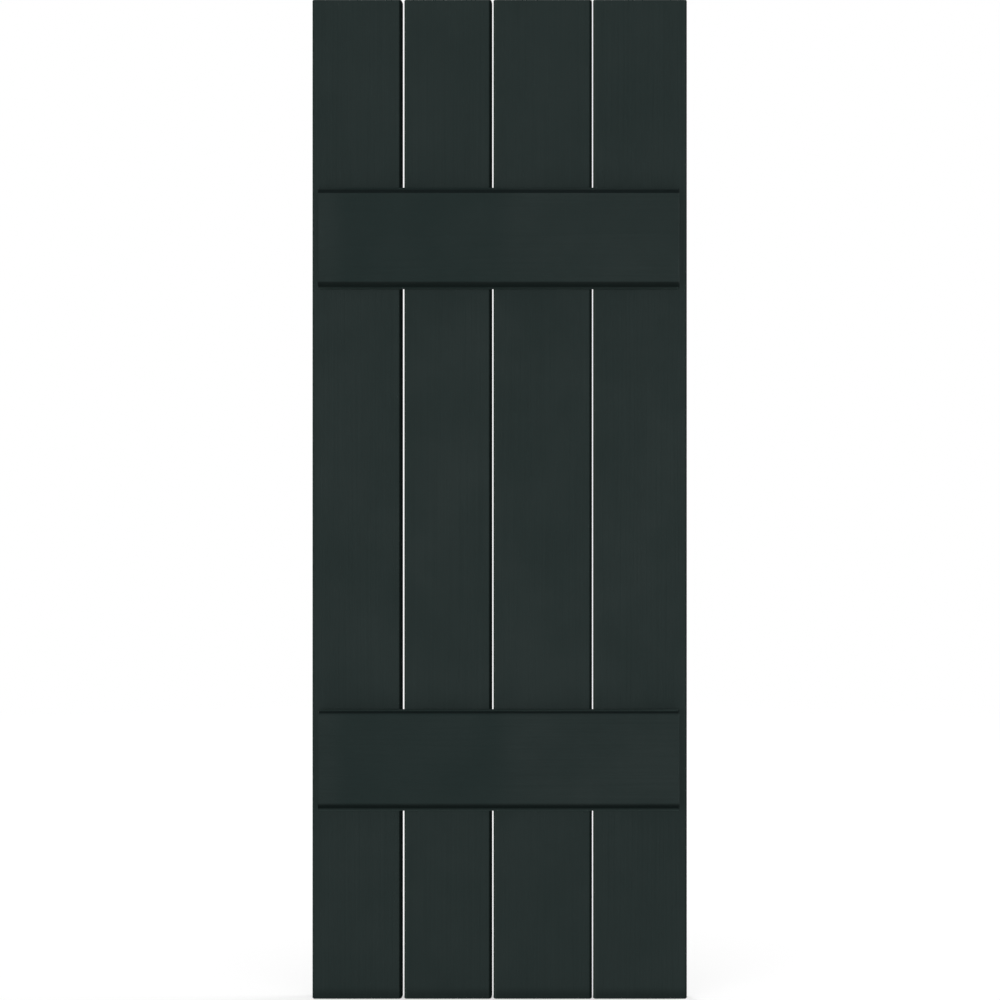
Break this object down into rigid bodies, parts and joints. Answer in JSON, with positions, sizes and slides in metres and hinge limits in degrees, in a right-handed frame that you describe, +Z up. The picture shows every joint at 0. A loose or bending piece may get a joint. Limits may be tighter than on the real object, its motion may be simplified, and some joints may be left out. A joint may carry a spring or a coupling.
{
  "type": "board and batten shutter",
  "caption": "Painted wooden board and batten shutter: upright boards set with narrow open gaps, held by horizontal battens across the front.",
  "frame": {"origin": "centre of the back of the boards, on the plane that lies against the wall", "axes": "+Z up along the boards, +X to the right as seen from in front, +Y backwards into the wall"},
  "size_m": [0.381, 0.0381, 1.016],
  "materials": {
    "painted_board": "satin",
    "painted_batten": "satin",
    "zinc_screw": "satin"
  },
  "bodies": {
    "root": {"batten_lower": "painted_batten", "batten_upper": "painted_batten", "board_1": "painted_board", "board_2": "painted_board", "board_3": "painted_board", "board_4": "painted_board", "screw_lower_board_1_left": "zinc_screw", "screw_lower_board_1_right": "zinc_screw", "screw_lower_board_2_left": "zinc_screw", "screw_lower_board_2_right": "zinc_screw", "screw_lower_board_3_left": "zinc_screw", "screw_lower_board_3_right": "zinc_screw", "screw_lower_board_4_left": "zinc_screw", "screw_lower_board_4_right": "zinc_screw", "screw_upper_board_1_left": "zinc_screw", "screw_upper_board_1_right": "zinc_screw", "screw_upper_board_2_left": "zinc_screw", "screw_upper_board_2_right": "zinc_screw", "screw_upper_board_3_left": "zinc_screw", "screw_upper_board_3_right": "zinc_screw", "screw_upper_board_4_left": "zinc_screw", "screw_upper_board_4_right": "zinc_screw"}
  },
  "joints": []
}
